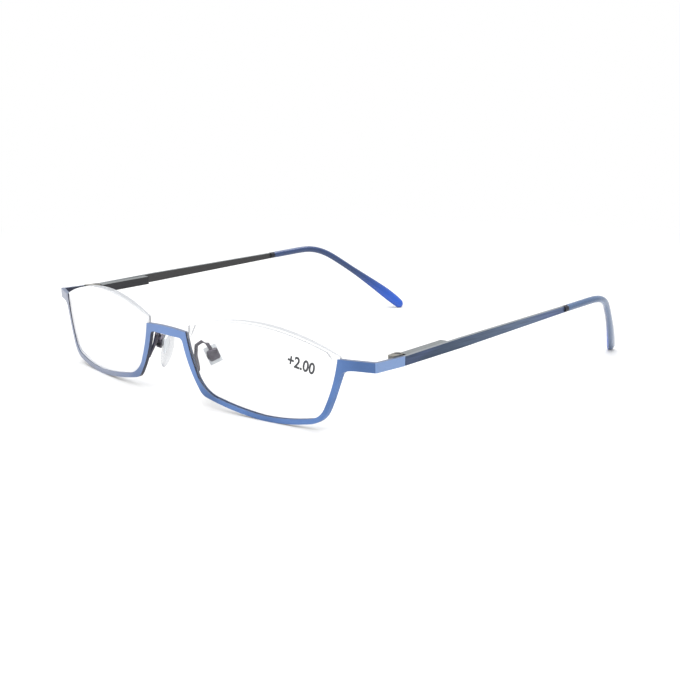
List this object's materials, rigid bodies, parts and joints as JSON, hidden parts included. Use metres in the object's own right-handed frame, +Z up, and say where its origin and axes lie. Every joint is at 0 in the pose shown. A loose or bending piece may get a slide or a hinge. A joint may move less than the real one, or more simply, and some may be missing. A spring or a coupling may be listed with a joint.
{
  "type": "half-frame reading glasses",
  "caption": "Half-frame reading glasses: blue metal lower rims, open-top clear lenses, screw-on nose pads, spring-hinged slim temples and clear blue tips.",
  "frame": {"origin": "middle of the bounding box on the floor that the lower rims and the temple tips rest on", "axes": "+X to the wearer's left, -Y the way the front faces, +Y along the open temples to the ear tips, +Z up"},
  "size_m": [0.1362, 0.1362, 0.0252],
  "materials": {
    "blue_metal": "satin metallic blue",
    "bar_metal": "brushed, blue-grey",
    "grey_metal": "satin",
    "dark_metal": "gloss, nearly black",
    "spring_steel": "bright wire",
    "tip_blue": "gloss, see-through blue",
    "lens_clear": "polished, clear",
    "cord_clear": "clear nylon",
    "pad_clear": "clear soft plastic"
  },
  "bodies": {
    "front": {"front_frame": "blue_metal", "lens_left": "lens_clear", "lens_cord_left": "cord_clear", "pad_arm_left": "dark_metal", "pad_screw_left": "grey_metal", "hinge_ears_left": "grey_metal", "lens_right": "lens_clear", "lens_cord_right": "cord_clear", "pad_arm_right": "dark_metal", "pad_screw_right": "grey_metal", "hinge_ears_right": "grey_metal"},
    "nose_pad_left": {"nose_pad_left": "pad_clear", "pad_insert_left": "grey_metal"},
    "screw_left": {"hinge_screw_left": "dark_metal"},
    "eye_left": {"hinge_eye_left": "grey_metal", "spring_stop_left": "grey_metal", "flex_spring_left": "spring_steel"},
    "temple_left": {"spring_box_left": "grey_metal", "temple_left": "bar_metal", "tip_collar_left": "dark_metal", "temple_tip_left": "tip_blue"},
    "nose_pad_right": {"nose_pad_right": "pad_clear", "pad_insert_right": "grey_metal"},
    "screw_right": {"hinge_screw_right": "dark_metal"},
    "eye_right": {"hinge_eye_right": "grey_metal", "spring_stop_right": "grey_metal", "flex_spring_right": "spring_steel"},
    "temple_right": {"spring_box_right": "grey_metal", "temple_right": "bar_metal", "tip_collar_right": "dark_metal", "temple_tip_right": "tip_blue"}
  },
  "joints": [
    {"name": "pad_rock_left", "type": "hinge", "parent": "front", "child": "nose_pad_left", "pos_m": [0.01156, -0.06094, 0.01286], "axis": [0.4528, 0.8016, 0.3905], "range_deg": [-8, 8]},
    {"name": "fold_left", "type": "hinge", "parent": "front", "child": "screw_left", "pos_m": [0.0649, -0.04519, 0.01808], "axis": [0, 0, 1], "range_deg": [0, 86]},
    {"name": "flex_left", "type": "hinge", "parent": "screw_left", "child": "eye_left", "pos_m": [0.0649, -0.04519, 0.01808], "axis": [0, 0, 1], "range_deg": [-12, 0], "stiffness_Nm_per_rad": 0.3},
    {"name": "box_slide_left", "type": "slide", "parent": "eye_left", "child": "temple_left", "axis": [-0.0697, 0.9965, 0.0454], "range_m": [0, 0.0006], "deforming": ["flex_spring_left"]},
    {"name": "pad_rock_right", "type": "hinge", "parent": "front", "child": "nose_pad_right", "pos_m": [-0.01156, -0.06094, 0.01286], "axis": [0.4528, -0.8016, -0.3905], "range_deg": [-8, 8]},
    {"name": "fold_right", "type": "hinge", "parent": "front", "child": "screw_right", "pos_m": [-0.0649, -0.04519, 0.01808], "axis": [0, 0, -1], "range_deg": [0, 80]},
    {"name": "flex_right", "type": "hinge", "parent": "screw_right", "child": "eye_right", "pos_m": [-0.0649, -0.04519, 0.01808], "axis": [0, 0, -1], "range_deg": [-12, 0], "stiffness_Nm_per_rad": 0.3},
    {"name": "box_slide_right", "type": "slide", "parent": "eye_right", "child": "temple_right", "axis": [0.0697, 0.9965, 0.0454], "range_m": [0, 0.0006], "deforming": ["flex_spring_right"]}
  ],
  "couplings": [
    {"joint": "box_slide_left", "follows": "flex_left", "m_per_rad": -0.0027},
    {"joint": "box_slide_right", "follows": "flex_right", "m_per_rad": -0.0027}
  ]
}
